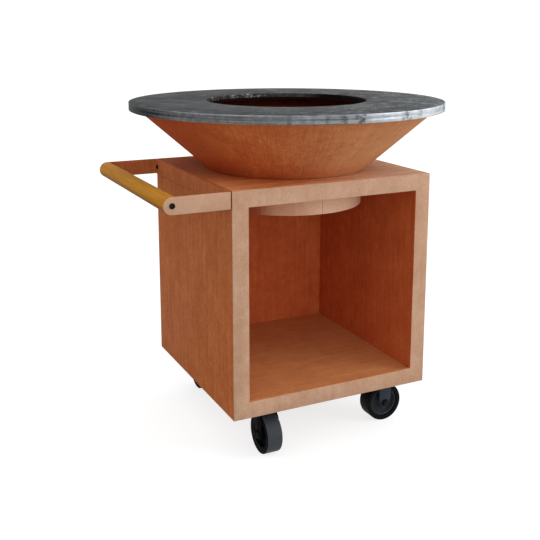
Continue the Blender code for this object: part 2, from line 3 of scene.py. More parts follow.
import bmesh
import bpy
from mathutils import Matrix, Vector


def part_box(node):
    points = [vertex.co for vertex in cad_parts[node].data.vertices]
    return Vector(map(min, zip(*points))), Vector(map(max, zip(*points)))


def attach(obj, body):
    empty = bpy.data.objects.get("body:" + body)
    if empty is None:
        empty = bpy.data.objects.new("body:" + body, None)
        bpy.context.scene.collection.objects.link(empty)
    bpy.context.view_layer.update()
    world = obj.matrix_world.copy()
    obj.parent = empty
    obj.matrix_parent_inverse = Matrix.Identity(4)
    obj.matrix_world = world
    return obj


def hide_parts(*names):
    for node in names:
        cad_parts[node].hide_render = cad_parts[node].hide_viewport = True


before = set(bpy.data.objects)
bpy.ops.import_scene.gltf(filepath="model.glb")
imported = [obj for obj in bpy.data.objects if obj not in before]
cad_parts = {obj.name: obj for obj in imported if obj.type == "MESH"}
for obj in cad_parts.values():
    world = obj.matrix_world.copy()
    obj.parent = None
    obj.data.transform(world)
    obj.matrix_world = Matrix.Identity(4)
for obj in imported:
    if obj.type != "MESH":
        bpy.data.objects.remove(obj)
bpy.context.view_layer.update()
print("Frame loaded:", len(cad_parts), "nodes")

plateLow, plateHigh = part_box("cooking_plate")
tableAxis = Vector(((plateLow.x + plateHigh.x) / 2, (plateLow.y + plateHigh.y) / 2, 0.0))    # the bowl's axis
weld = 0.00001    # points nearer than this are one
litSide, darkSide = (0.9, -0.437), (-0.9, 0.437)    # the lit side of what is round, and the shaded one, for painted light and painted shade
facing = {"sideways": 0.4, "edgeways": 0.5, "leftward": 0.6, "upward": 0.6, "straightUp": 0.9,
          "inward": 0.001}    # how far a face has to look that way


# names and colours
def camel(node):
    # a node's name as its piece's name: front_frame becomes frontFrame
    first, *others = node.split("_")
    return first + "".join(word.capitalize() for word in others)


def linear(red, green, blue):
    # a colour as read on a screen, as the numbers that a shader takes
    tones = []
    for tone in (red / 255, green / 255, blue / 255):
        tones.append(tone / 12.92 if tone <= 0.04045 else ((tone + 0.055) / 1.055) ** 2.4)
    return (*tones, 1.0)


def shade(colour, share):
    return tuple(min(1.0, tone * share) for tone in colour[:3]) + (1.0,)


def grey(tone):
    return (tone, tone, tone, 1.0)


# modelling steps
def selectOnly(piece):
    bpy.ops.object.select_all(action="DESELECT")
    piece.select_set(True)
    bpy.context.view_layer.objects.active = piece


def editMode(piece):
    # edit mode, with the whole mesh selected
    selectOnly(piece)
    bpy.ops.object.mode_set(mode="EDIT")
    bpy.ops.mesh.select_all(action="SELECT")


def objectMode():
    bpy.ops.object.mode_set(mode="OBJECT")


def modify(piece, kind, **settings):
    # adds one modifier and applies it
    selectOnly(piece)
    modifier = piece.modifiers.new(kind.lower(), kind)
    for setting, value in settings.items():
        setattr(modifier, setting, value)
    bpy.ops.object.modifier_apply(modifier=modifier.name)


def easeEdges(piece, width, segments, cornerAngle):
    # bevels the edges where the surface turns by more than the corner angle
    modify(piece, "BEVEL", width=width, segments=segments, limit_method="ANGLE",
           angle_limit=math.radians(cornerAngle))


def settle(piece, sharpAngle=32):
    # puts the piece's place into its mesh and smooths what isn't a corner
    selectOnly(piece)
    bpy.ops.object.transform_apply(location=True, rotation=True, scale=True)
    bpy.ops.object.shade_smooth_by_angle(angle=math.radians(sharpAngle))


def nameAs(name):
    piece = bpy.context.object
    piece.name = name
    piece.data.name = name
    return piece


def startPoint(name, place):
    # a single point to extrude from, in edit mode
    bpy.ops.object.select_all(action="DESELECT")
    bpy.ops.mesh.primitive_plane_add(size=1, location=(0, 0, 0))
    piece = nameAs(name)
    editMode(piece)
    bpy.ops.mesh.merge(type="CENTER")
    bpy.ops.transform.translate(value=place)
    return piece


def pickCorners(piece, wanted):
    # selects the points that wanted(place) picks, in edit mode
    mesh = bmesh.from_edit_mesh(piece.data)
    for corner in mesh.verts:
        corner.select_set(wanted(corner.co))
    bmesh.update_edit_mesh(piece.data)


def turn(name, profile, steps, centre=(0, 0, 0)):
    # draws (radius, height) points out from an upright axis and spins them round it
    places = [Vector((radius, 0.0, height)) for radius, height in profile]
    piece = startPoint(name, places[0])
    for start, stop in zip(places, places[1:]):
        bpy.ops.mesh.extrude_vertices_move(TRANSFORM_OT_translate={"value": stop - start})
    if places[0].x > 0:
        bpy.ops.mesh.extrude_vertices_move(TRANSFORM_OT_translate={"value": places[0] - places[-1]})
    bpy.ops.mesh.select_all(action="SELECT")
    bpy.ops.mesh.remove_doubles(threshold=weld)
    bpy.ops.mesh.spin(steps=steps, angle=math.tau, center=(0, 0, 0), axis=(0, 0, 1))
    bpy.ops.mesh.select_all(action="SELECT")
    bpy.ops.mesh.remove_doubles(threshold=weld)
    bpy.ops.mesh.normals_make_consistent(inside=False)
    objectMode()
    piece.location = centre
    return piece


def rounded(profile, radius, steps=3):
    # the same closed profile with every corner rounded off
    smooth = []
    for index, corner in enumerate(profile):
        here = Vector(corner)
        before = Vector(profile[index - 1]) - here
        after = Vector(profile[(index + 1) % len(profile)]) - here
        reach = min(radius, before.length * 0.45, after.length * 0.45)    # so that two corners never meet
        start, stop = here + before.normalized() * reach, here + after.normalized() * reach
        for step in range(steps + 1):
            share = step / steps
            point = start * (1 - share) ** 2 + here * 2 * share * (1 - share) + stop * share ** 2
            smooth.append((point.x, point.y))
    return smooth


def copyOf(pattern, name, place, turned=(0, 0, 0)):
    # a copy with its own mesh, turned and put in its place
    selectOnly(pattern)
    bpy.ops.object.duplicate(linked=False)
    piece = nameAs(name)
    piece.rotation_euler = turned
    piece.location = place
    bpy.ops.object.transform_apply(location=True, rotation=True, scale=True)
    return piece


def cutOut(piece, cutter):
    modify(piece, "BOOLEAN", operation="DIFFERENCE", solver="EXACT", object=cutter)
    bpy.data.objects.remove(cutter)


def easedCopy(node, width):
    # a copy of a CAD sheet with its loose triangles joined up and its edges eased
    selectOnly(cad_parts[node])
    bpy.ops.object.duplicate(linked=False)
    piece = nameAs(camel(node))
    for key in [key for key in piece.keys() if key.startswith("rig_")]:
        del piece[key]
    piece.parent = None
    editMode(piece)
    bpy.ops.mesh.remove_doubles(threshold=weld)
    bpy.ops.mesh.dissolve_limited(angle_limit=math.radians(1), use_dissolve_boundaries=False)
    objectMode()
    easeEdges(piece, width, segments=2, cornerAngle=40)
    settle(piece)
    return piece


def paint(piece, material):
    piece.data.materials.clear()
    piece.data.materials.append(material)


def dress(piece, body, slot, material, *nodes):
    paint(piece, material)
    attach(piece, body)
    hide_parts(*nodes)


def secondFinish(piece, material, wanted):
    # gives the faces that wanted(centre, normal) picks another finish
    piece.data.materials.append(material)
    for face in piece.data.polygons:
        if wanted(face.center, face.normal):
            face.material_index = len(piece.data.materials) - 1


# shader maths
class Wire:
    # a shader socket; sums written with it add Math nodes
    def __init__(self, tree, socket):
        self.tree = tree
        self.socket = socket

    def maths(self, operation, first, second=None):
        values = {0: first} if second is None else {0: first, 1: second}
        return addNode(self.tree, "ShaderNodeMath", {"operation": operation}, values)

    def __add__(self, other):
        return self.maths("ADD", self, other)

    __radd__ = __add__

    def __mul__(self, other):
        return self.maths("MULTIPLY", self, other)

    __rmul__ = __mul__

    def __sub__(self, other):
        return self.maths("SUBTRACT", self, other)

    def __rsub__(self, other):
        return self.maths("SUBTRACT", other, self)

    def __truediv__(self, other):
        return self.maths("DIVIDE", self, other)

    def __abs__(self):
        return self.maths("ABSOLUTE", self)

    def by(self, scale):
        # a vector stretched along its axes
        return addNode(self.tree, "ShaderNodeVectorMath", {"operation": "MULTIPLY"}, {0: self, 1: scale})

    def clamp(self):
        node = self.maths("ADD", self, 0.0)
        node.socket.node.use_clamp = True
        return node

    def over(self, low, high):
        # 0 below low and 1 above high, smoothly between
        return addNode(self.tree, "ShaderNodeMapRange", {"interpolation_type": "SMOOTHSTEP"},
                       {"Value": self, "From Min": low, "From Max": high})

    def axes(self):
        # a vector's three numbers
        node = addNode(self.tree, "ShaderNodeSeparateXYZ", values={"Vector": self}).socket.node
        return [Wire(self.tree, output) for output in node.outputs]


def addNode(tree, kind, settings=None, values=None, output=0):
    node = tree.nodes.new(kind)
    for setting, value in (settings or {}).items():
        if setting == "stops":
            for index, (place, colour) in enumerate(value):
                stop = node.color_ramp.elements[index] if index < 2 else node.color_ramp.elements.new(place)
                stop.position = place
                stop.color = colour
        else:
            setattr(node, setting, value)
    for name, value in (values or {}).items():
        if isinstance(value, Wire):
            tree.links.new(value.socket, node.inputs[name])
        else:
            node.inputs[name].default_value = value
    return Wire(tree, node.outputs[output])


def newMaterial(name, **fixed):
    # a material with one Principled shader, its fixed values set on its own sockets
    material = bpy.data.materials.new(name)
    material.use_nodes = True
    shader = material.node_tree.nodes["Principled BSDF"]
    for socket, value in fixed.items():
        shader.inputs[socket.replace("_", " ")].default_value = value
    return material, material.node_tree, shader


def connect(tree, shader, **wires):
    for socket, wire in wires.items():
        tree.links.new(wire.socket, shader.inputs[socket.replace("_", " ")])


def objectPlace(tree, stretch=(1, 1, 1), turned=(0, 0, 0), moved=(0, 0, 0)):
    place = addNode(tree, "ShaderNodeTexCoord", output="Object")
    return addNode(tree, "ShaderNodeMapping", values={"Vector": place, "Scale": stretch, "Rotation": turned,
                                                      "Location": moved})


def noise(tree, place, pattern):
    scale, detail, roughness, distortion = pattern
    return addNode(tree, "ShaderNodeTexNoise", {"normalize": True},
                   {"Vector": place, "Scale": scale, "Detail": detail, "Roughness": roughness,
                    "Distortion": distortion})


def ramp(tree, share, stops):
    # a colour for each share; the ramp's two ends come first in its stops
    return addNode(tree, "ShaderNodeValToRGB", {"stops": stops}, {"Fac": share})


def screenStops(stops):
    # a ramp's stops from colours as read on a screen
    return [(place, linear(*colour)) for place, colour in stops]


def mixColour(tree, share, first, second):
    node = tree.nodes.new("ShaderNodeMix")
    node.data_type = "RGBA"
    node.clamp_factor = True
    for index, value in ((0, share), (6, first), (7, second)):    # the sockets that a colour mix uses
        if isinstance(value, Wire):
            tree.links.new(value.socket, node.inputs[index])
        else:
            node.inputs[index].default_value = value
    return Wire(tree, node.outputs[2])


def bump(tree, height, strength, distance):
    return addNode(tree, "ShaderNodeBump", {}, {"Height": height, "Strength": strength, "Distance": distance},
                   output="Normal")


def roundPlace(tree):
    # across, along and how far out from the bowl's axis, and the way round and how far out as one vector
    across, along = objectPlace(tree, moved=(-tableAxis.x, 0, 0)).axes()[:2]
    radius = across.maths("SQRT", across * across + along * along)
    ways = {"X": across / radius, "Y": along / radius, "Z": radius}
    return across, along, radius, addNode(tree, "ShaderNodeCombineXYZ", values=ways)


# materials
rustPatterns = {    # each pattern's scale, detail, roughness and distortion
    "cloud": (11.0, 5.0, 0.6, 0.4), "patch": (48.0, 4.0, 0.65, 0.0), "drawn": (70.0, 4.0, 0.65, 0.0),
    "runs": (1.6, 4.0, 0.65, 0.0), "dots": (150.0, 2.0, 0.5, 0.0), "fine": (200.0, 3.0, 0.7, 0.0),
    "speck": (560.0, 2.0, 0.6, 0.0),
}
# painted light: the front, strip and ring copies of the one weathering steel are paler and pinker, the top
# and bay floor copies paler
rustLooks = {
    "rustFront": {"deep": (172, 128, 100), "usual": (191, 151, 123), "pale": (208, 174, 150),
                  "grain": (1, 1, 0.12), "streaks": 0.2, "blotches": 0.4, "speckle": 0.8, "sheen": 0.1},
    "litStripRust": {"deep": (172, 128, 100), "usual": (191, 151, 123), "pale": (208, 174, 150),
                  "grain": (1, 0.12, 1), "streaks": 0.12, "blotches": 0.22, "speckle": 0.5, "sheen": 0.1},
    "litRingRust": {"deep": (182, 126, 94), "usual": (206, 158, 126), "pale": (222, 182, 154),
                 "paintedShade": (160, 82, 54), "paintedShadeSide": (darkSide, 0.12, 0.4), "radial": True,
                 "paintedLight": (218, 178, 150), "paintedLightSide": (litSide, 0.0, 0.5),
                 "streaks": 0.1, "blotches": 0.2, "speckle": 0.6, "sheen": 0.1},
    "rustSide": {"deep": (154, 80, 40), "usual": (181, 101, 55), "pale": (202, 128, 80),
                 "grain": (1, 1, 0.06), "streaks": 0.4, "blotches": 0.38, "speckle": 0.85, "sheen": 0.08},
    "litTopRust": {"deep": (188, 106, 54), "usual": (219, 143, 86), "pale": (234, 168, 116),
                "paintedLight": (222, 192, 168), "paintedLightSide": ((1, 0), -0.14, 0.24),
                "paintedShade": (160, 76, 40), "paintedShadeSide": ((-0.6, 0.8), 0.0, 0.3),
                "grain": (0.06, 1, 1), "streaks": 0.75, "blotches": 0.3, "speckle": 0.5, "sheen": 0.04},
    "rustBay": {"deep": (172, 80, 40), "usual": (196, 98, 52), "pale": (210, 118, 70),
                "grain": (1, 1, 0.08), "streaks": 0.42, "blotches": 0.44, "speckle": 0.7, "sheen": 0.08},
    "litFloorRust": {"deep": (186, 110, 62), "usual": (208, 137, 85), "pale": (222, 162, 112),
                  "grain": (0.05, 1, 1), "streaks": 0.3, "blotches": 0.3, "speckle": 0.5, "sheen": 0.08},
    "rustBowl": {"deep": (156, 70, 32), "usual": (190, 99, 52), "pale": (214, 138, 80),
                 "paintedShade": (176, 78, 40), "paintedShadeSide": (darkSide, 0.3, 0.8),
                 "paintedLight": (205, 150, 106), "paintedLightSide": (litSide, -0.3, 1.0), "radial": True,
                 "streaks": 0.24, "blotches": 0.32, "speckle": 0.8, "sheen": 0.03},
    "rustInside": {"deep": (124, 56, 28), "usual": (154, 78, 42), "pale": (176, 104, 62), "radial": True,
                   "streaks": 0.2, "blotches": 0.3, "speckle": 0.6, "sheen": 0.02},
}


sideRust = {"deep": 0.7, "pale": 1.26, "cover": 0.85}    # the painted lit and shaded sides' own shades, and how far they cover


def rustedSteel(name, look):
    # weathering steel: fine speckled rust, soft blotches and faint streaks, with painted light on one side
    # and painted shade on the other
    material, tree, shader = newMaterial(name, Specular_IOR_Level=look["sheen"])
    place = objectPlace(tree)
    across, along, radius, ways = roundPlace(tree)
    fine = noise(tree, place, rustPatterns["fine"])
    speck = noise(tree, place, rustPatterns["speck"])
    cloud = noise(tree, place, rustPatterns["cloud"])
    patch = noise(tree, place, rustPatterns["patch"])
    dots = noise(tree, objectPlace(tree, moved=(4.7, 1.3, 2.9)), rustPatterns["dots"])
    if look.get("radial"):    # streaks run down the cone, and the painted lit and shaded sides go by the way round
        drawn = noise(tree, ways.by((30, 30, 7)), rustPatterns["runs"])
        across, along = across / radius, along / radius
    else:    # streaks run along the sheet, and the painted lit and shaded sides go by the distance from the axis
        drawn = noise(tree, objectPlace(tree, look["grain"]), rustPatterns["drawn"])
    tone = 0.5 + (cloud - 0.5) * look["blotches"] * 1.5 + (patch - 0.5) * look["blotches"]
    tone = tone + (drawn - 0.5) * look["streaks"] * 1.6 + (fine - 0.5) * look["speckle"] + (speck - 0.5) * 0.3
    tone = tone.clamp()

    def varied(deep, usual, pale):
        return ramp(tree, tone, [(0.15, deep), (0.85, pale), (0.5, usual)])

    colour = varied(linear(*look["deep"]), linear(*look["usual"]), linear(*look["pale"]))
    mottled = (patch - 0.5) * 0.2 + (drawn - 0.5) * 0.25
    # painted shade on the side away from the light, and painted light on the lit side
    for side in ("paintedShade", "paintedLight"):
        if side in look:
            direction, start, stop = look[side + "Side"]
            reach = across * direction[0] + along * direction[1] + mottled
            rust = linear(*look[side])
            ownRust = varied(shade(rust, sideRust["deep"]), rust, shade(rust, sideRust["pale"]))
            colour = mixColour(tree, reach.over(start, stop) * sideRust["cover"], colour, ownRust)
    colour = mixColour(tree, dots.over(0.66, 0.74) * look["speckle"] * 0.6, colour, linear(*look["pale"]))
    height = fine * 0.5 + speck * 0.3 + patch * 0.4 + drawn * 0.2
    connect(tree, shader, Base_Color=colour, Roughness=0.78 + (fine - 0.5) * 0.2,
            Normal=bump(tree, height, strength=0.35, distance=0.0006))
    return material


plate = {"bevel": 0.0016, "bevelMiddle": 0.3, "grooveDepth": 0.0006, "grooveHalf": 0.0011, "grooveFloor": 0.3,
         "holeRadius": 0.255, "steps": 200}
steelPatterns = {
    "cloud": (7.0, 6.0, 0.7, 0.9), "ridge": (9.0, 6.0, 0.7, 1.4), "stain": (26.0, 5.0, 0.7, 0.4),
    "chips": (60.0, 4.0, 0.65, 0.0), "grit": (190.0, 4.0, 0.7, 0.0), "lines": (2.6, 3.0, 0.65, 0.0),
    "hair": (3.0, 3.0, 0.6, 0.0), "knocks": (1.0, 2.0, 0.55, 0.0),
}
steelLook = {
    "sheen": 0.02, "edgeStart": 0.0012, "blend": 0.001, "seam": (0.0008, 0.0035), "crest": (0.004, 0.001),
    "scratches": ((0.35, 0.0), (-0.8, 3.1), (1.35, 7.7)),    # each set's angle, and where its pattern starts
    "top": ((0.0, (38, 40, 42)), (1.0, (140, 144, 147)), (0.35, (69, 72, 73)), (0.6, (91, 94, 96))),
    "edge": ((0.0, (34, 35, 37)), (1.0, (238, 242, 248)), (0.35, (112, 114, 116)), (0.6, (168, 174, 180))),
    "scale": ((0.0, (14, 12, 11)), (1.0, (190, 196, 198)), (0.35, (42, 40, 39)), (0.6, (74, 71, 70))),
    # painted shadow on the lower half of the bore's wall
    "soot": (30, 14, 9),
    "shine": ((0.0, 0.0), (1.0, 0.6), (0.1, 0.02), (0.2, 0.3), (0.62, 0.4), (0.73, 0.6), (0.9, 0.82),
              (0.95, 0.66)),    # painted highlight: how bright the bare edge is, from the shaded side at 0 to the lit side at 1
}


def cookingSteel():
    # thick hot-rolled steel, darkened by oil and heat, with hairline scratches and a bare sawn edge
    # painted light on the lit side, painted highlights on the edge and a painted shadow low in the bore
    material, tree, shader = newMaterial("cookingSteel", Specular_IOR_Level=steelLook["sheen"])
    place = objectPlace(tree)
    across, along, radius, ways = roundPlace(tree)
    height = place.axes()[2]
    towardLight = (across * litSide[0] + along * litSide[1]) * 2.0    # -1 to 1 across the plate, from its shaded side to its lit side
    cloud = noise(tree, place, steelPatterns["cloud"])
    stain = noise(tree, place, steelPatterns["stain"])
    grit = noise(tree, place, steelPatterns["grit"])
    chips = noise(tree, objectPlace(tree, stretch=(1, 1, 1.6)), steelPatterns["chips"])
    lines = noise(tree, objectPlace(tree, stretch=(1.6, 1.6, 170)), steelPatterns["lines"])    # along the rim
    ridge = noise(tree, objectPlace(tree, stretch=(1, 1.6, 1), turned=(0, 0, 0.5)), steelPatterns["ridge"])
    veins = 1 - abs(ridge - 0.5).over(0.0, 0.035)
    scratches = 0.0
    for angle, start in steelLook["scratches"]:
        drawn = objectPlace(tree, stretch=(3, 150, 3), turned=(0, 0, angle), moved=(start, 0, 0))
        hair = noise(tree, drawn, steelPatterns["hair"])
        scratches = hair.over(0.62, 0.74) * 0.5 + scratches

    tone = 0.34 + (cloud - 0.5) * 1.3 + (stain - 0.5) * 1.4 + (grit - 0.5) * 1.1 + scratches * 0.16
    # painted light: lighter, and with brighter veins, towards the lit side
    tone = (tone + veins * stain * (0.5 + towardLight * 0.5) + towardLight * 0.08).clamp()
    colour = ramp(tree, tone, screenStops(steelLook["top"]))

    outer = (plateHigh.x - plateLow.x) / 2 - steelLook["edgeStart"]
    middle, top = (plateLow.z + plateHigh.z) / 2, plateHigh.z
    rim = radius.over(outer - steelLook["blend"], outer)
    seam = 1 - abs(height - middle).over(*steelLook["seam"])
    # painted highlights: along the top of the edge, and brighter on the bare edge towards the lit side
    crest = height.over(top - steelLook["crest"][0], top - steelLook["crest"][1])
    bright = ramp(tree, towardLight * 0.5 + 0.5, [(share, grey(shine)) for share, shine in steelLook["shine"]])
    knocks = noise(tree, ways.by((5.5, 5.5, 0)), steelPatterns["knocks"])
    knocked = knocks.over(0.54, 0.64) * chips.over(0.42, 0.6)
    edge = bright + (lines - 0.5) * 0.7 + (chips - 0.5) * 0.4
    edge = (edge - seam * 0.06 + crest * 0.1 - knocked * 0.4).clamp()
    colour = mixColour(tree, rim, colour, ramp(tree, edge, screenStops(steelLook["edge"])))

    inner = plate["holeRadius"] + steelLook["edgeStart"]
    bore = 1 - radius.over(inner, inner + steelLook["blend"])
    flaky = 1 - towardLight.over(-0.25, -0.05) * 0.6    # the bore's wall is rougher to the left
    # painted shade: the bore's wall is darker towards the lit side, where it faces away from the light
    scale = 0.5 + ((chips - 0.5) * 1.6 + (grit - 0.5) * 1.4) * flaky - towardLight.over(0.17, 0.28) * 0.5
    upperHalf = height.over(middle - steelLook["blend"], middle + steelLook["blend"])
    # painted shadow: the lower half of the bore's wall is near black
    boreColour = mixColour(tree, upperHalf, linear(*steelLook["soot"]),
                           ramp(tree, scale.clamp(), screenStops(steelLook["scale"])))
    colour = mixColour(tree, bore, colour, boreColour)

    roughness = (0.55 + (stain - 0.5) * 0.4 - rim * 0.15 + (grit - 0.5) * 0.2).clamp()
    relief = grit * 0.4 + stain * 0.5 - scratches * 0.3 + rim * lines * 0.6
    connect(tree, shader, Base_Color=colour, Roughness=roughness, Metallic=rim * edge * 0.5,
            Normal=bump(tree, relief, strength=0.25, distance=0.0004))
    return material


woodPatterns = {"cloud": (16.0, 3.0, 0.5, 0.0), "bands": (95.0, 5.0, 0.6, 0.8),
                "pores": (620.0, 3.0, 0.6, 0.0)}
woodLook = {"sheen": 0.02, "deep": (158, 98, 20), "usual": (190, 130, 40), "pale": (212, 154, 60),
            "underside": (112, 68, 30), "undersideStart": 0.011, "undersideEnd": 0.024}


def oiledWood():
    # a turned hardwood rod: long grain with darker pores, and painted shade on its underside
    material, tree, shader = newMaterial("oiledWood", Specular_IOR_Level=woodLook["sheen"])
    bands = noise(tree, objectPlace(tree, stretch=(1, 0.05, 1)), woodPatterns["bands"])
    pores = noise(tree, objectPlace(tree, stretch=(1, 0.022, 1)), woodPatterns["pores"])
    cloud = noise(tree, objectPlace(tree, stretch=(1, 0.2, 1)), woodPatterns["cloud"])
    tone = (0.5 + (bands - 0.5) * 0.9 + (cloud - 0.5) * 0.4 - pores.over(0.56, 0.7) * 0.28).clamp()
    colour = ramp(tree, tone, screenStops([(0.1, woodLook["deep"]), (0.9, woodLook["pale"]),
                                           (0.5, woodLook["usual"])]))
    low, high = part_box("handle_rod")
    places = objectPlace(tree).axes()
    outward, downward = (low.x + high.x) / 2 - places[0], (low.z + high.z) / 2 - places[2]
    # painted shade: darker towards the underside
    under = (outward * 0.6 + downward * 0.8).over(woodLook["undersideStart"], woodLook["undersideEnd"])
    colour = mixColour(tree, under * 0.6, colour, linear(*woodLook["underside"]))
    connect(tree, shader, Base_Color=colour, Roughness=0.55 + (bands - 0.5) * 0.2,
            Normal=bump(tree, bands * 0.6 - pores * 0.4, strength=0.3, distance=0.0004))
    return material


coatPatterns = {"dust": (60.0, 4.0, 0.6, 0.0), "peel": (500.0, 2.0, 0.5, 0.0)}
coats = {
    "coatedSteel": {"colour": (22, 24, 27), "rough": 0.5, "metallic": 0.1, "sheen": 0.1},
    "litForkCoat": {"colour": (50, 54, 60), "rough": 0.5, "metallic": 0.1, "sheen": 0.1},    # painted light: the lit fork
    "boltSteel": {"colour": (22, 22, 24), "rough": 0.42, "metallic": 0.3, "sheen": 0.1},
    "zincSteel": {"colour": (150, 152, 156), "rough": 0.35, "metallic": 1.0, "sheen": 0.1},
    "wheelPlastic": {"colour": (52, 56, 61), "rough": 0.5, "metallic": 0.0, "sheen": 0.1},
    # painted shade: a darker copy of the wheel's plastic, for its recessed web
    "wheelWell": {"colour": (40, 43, 47), "rough": 0.6, "metallic": 0.0, "sheen": 0.1},
    "shadeBlack": {"colour": (9, 9, 10), "rough": 0.6, "metallic": 0.0, "sheen": 0.02},    # painted shade: what faces left
}


def evenCoat(name, look):
    # coated or plated steel and moulded plastic: even colour, faint dust, and a slight orange peel
    material, tree, shader = newMaterial(name, Metallic=look["metallic"], Specular_IOR_Level=look["sheen"])
    place = objectPlace(tree)
    dust = noise(tree, place, coatPatterns["dust"])
    peel = noise(tree, place, coatPatterns["peel"])
    colour = linear(*look["colour"])
    tint = mixColour(tree, dust.over(0.45, 0.8) * 0.6, colour, shade(colour, 2.0))
    connect(tree, shader, Base_Color=tint, Roughness=look["rough"] + (dust - 0.5) * 0.25,
            Normal=bump(tree, peel, strength=0.2, distance=0.0003))
    return material


rubberPatterns = {"dust": (70.0, 5.0, 0.65, 0.0), "grain": (900.0, 2.0, 0.5, 0.0)}
rubbers = {
    # painted light: a paler copy of the tyre rubber, for the one tread that faces the light
    "litTreadRubber": {"dark": (52, 56, 61), "dusty": (66, 71, 76), "sheen": 0.2},
    "wallRubber": {"dark": (10, 11, 12), "dusty": (20, 22, 24), "sheen": 0.05},
}


def tyreRubber(name, look):
    # smooth dark rubber with some dust
    material, tree, shader = newMaterial(name, Specular_IOR_Level=look["sheen"])
    place = objectPlace(tree)
    dust = noise(tree, place, rubberPatterns["dust"])
    grain = noise(tree, place, rubberPatterns["grain"])
    tint = mixColour(tree, dust.over(0.4, 0.75) * 0.5, linear(*look["dark"]), linear(*look["dusty"]))
    connect(tree, shader, Base_Color=tint, Roughness=0.55 + (dust - 0.5) * 0.3,
            Normal=bump(tree, grain, strength=0.25, distance=0.0003))
    return material


rustFront, litStripRust, litRingRust, rustSide, litTopRust, rustBay, litFloorRust, rustBowl, rustInside = [
    rustedSteel(name, look) for name, look in rustLooks.items()]
steel = cookingSteel()
wood = oiledWood()
coatedSteel, litForkCoat, boltSteel, zincSteel, wheelPlastic, wheelWell, shadeBlack = [
    evenCoat(name, look) for name, look in coats.items()]
litTreadRubber, wallRubber = [tyreRubber(name, look) for name, look in rubbers.items()]
print("Materials made")


# cooking plate and bowl
def makeCookingPlate():
    low, high = plateLow.z, plateHigh.z
    outer, inner = (plateHigh.x - plateLow.x) / 2, plate["holeRadius"]
    middle, ease = (low + high) / 2, plate["bevel"]
    cut = ease * plate["bevelMiddle"]
    groove, half = outer - plate["grooveDepth"], plate["grooveHalf"]
    floorHalf = half * plate["grooveFloor"]
    profile = [
        (inner, low + ease), (inner + cut, low + cut), (inner + ease, low),
        (outer - ease, low), (outer - cut, low + cut), (outer, low + ease),
        (outer, middle - half), (groove, middle - floorHalf),
        (groove, middle + floorHalf), (outer, middle + half),
        (outer, high - ease), (outer - cut, high - cut), (outer - ease, high),
        (inner + ease, high), (inner + cut, high - cut), (inner, high - ease),
    ]
    piece = turn("cookingPlate", profile, plate["steps"], tableAxis)
    settle(piece, sharpAngle=40)
    dress(piece, "cooking_plate", "cooking_steel", steel, "cooking_plate")


bowl = {"wall": 0.0045, "floor": 0.005, "rimWidth": 0.030, "rimThickness": 0.006, "drain": 0.015,
        "mouth": 0.470, "foot": 0.255, "ease": 0.0015, "steps": 200}


def makeFireBowl():
    lowCorner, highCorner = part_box("fire_bowl")
    low, high = lowCorner.z, highCorner.z
    slope = (bowl["mouth"] - bowl["foot"]) / (high - low)
    wall = bowl["wall"] * math.hypot(1, slope)
    rimInner, rimUnder = bowl["mouth"] - bowl["rimWidth"], high - bowl["rimThickness"]
    floorTop = low + bowl["floor"]
    insideTop = bowl["mouth"] - slope * bowl["rimThickness"] - wall
    insideLow = bowl["foot"] + slope * bowl["floor"] - wall
    profile = rounded([
        (bowl["drain"], low), (bowl["foot"], low), (bowl["mouth"], high), (rimInner, high),
        (rimInner, rimUnder), (insideTop, rimUnder), (insideLow, floorTop), (bowl["drain"], floorTop),
    ], bowl["ease"])
    piece = turn("fireBowl", profile, bowl["steps"], tableAxis)
    settle(piece, sharpAngle=50)
    dress(piece, "fire_bowl", "rusted_bowl", rustBowl, "fire_bowl")

    def isInside(centre, normal):
        # under the rim, on a face that looks at the axis or straight up
        inward = normal.x * (centre.x - tableAxis.x) + normal.y * centre.y < -facing["inward"]
        return centre.z < high - bowl["rimThickness"] / 2 and (inward or normal.z > facing["straightUp"])

    secondFinish(piece, rustInside, isInside)


shield = {"wall": 0.003, "seam": 0.0013, "ease": 0.0006, "steps": 180}


def makeHeatShield():
    # the rolled band, open at its seam in front
    low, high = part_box("heat_shield_ring")
    outer = (high.y - low.y) / 2
    inner = outer - shield["wall"]
    corners = [(inner, low.z), (outer, low.z), (outer, high.z), (inner, high.z)]
    band = turn("heatShieldRing", rounded(corners, shield["ease"]), shield["steps"], tableAxis)
    settle(band, sharpAngle=50)
    bpy.ops.mesh.primitive_cube_add(size=1, location=(tableAxis.x, -outer, (low.z + high.z) / 2),
                                    scale=(shield["seam"], 3 * shield["wall"], 2 * (high.z - low.z)))
    cutOut(band, nameAs("seamCutter"))
    settle(band, sharpAngle=50)
    dress(band, "cabinet", "rusted_front", litRingRust, "heat_shield_ring")


makeCookingPlate()
makeFireBowl()
makeHeatShield()
print("Plate, bowl and heat shield made")


# cabinet sheets
cabinet = {"ease": 0.0007, "frameFace": 0.050, "lipReach": 0.010, "slack": 0.0005}
easedSheets = {
    "front_frame": (rustFront, "rusted_front"), "left_side_panel": (rustSide, "rusted_side"),
    "right_side_panel": (rustSide, "rusted_side"), "rear_panel": (rustSide, "rusted_side"),
    "top_panel": (litTopRust, "rusted_top"), "base_panel": (rustSide, "rusted_side"),
}
keptNodes = {
    "bay_left_wall": rustBay, "bay_right_wall": rustBay, "bay_rear_wall": rustBay, "bay_ceiling": rustBay,
    "bay_floor": litFloorRust, "front_cross_rail": rustSide, "rear_cross_rail": rustSide,
    "heat_shield_pan": rustBay, "bowl_foot_ring": rustBowl,
    "plate_locator_1": steel, "plate_locator_2": steel, "plate_locator_3": steel,
}


def atOpening(place):
    # whether a place is at the edge of the front frame's opening
    low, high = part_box("front_frame")
    last = cabinet["frameFace"] + cabinet["slack"]
    inward = (place.x - low.x, high.x - place.x, place.z - low.z, high.z - place.z)
    return any(cabinet["frameFace"] - cabinet["lipReach"] < distance < last for distance in inward)


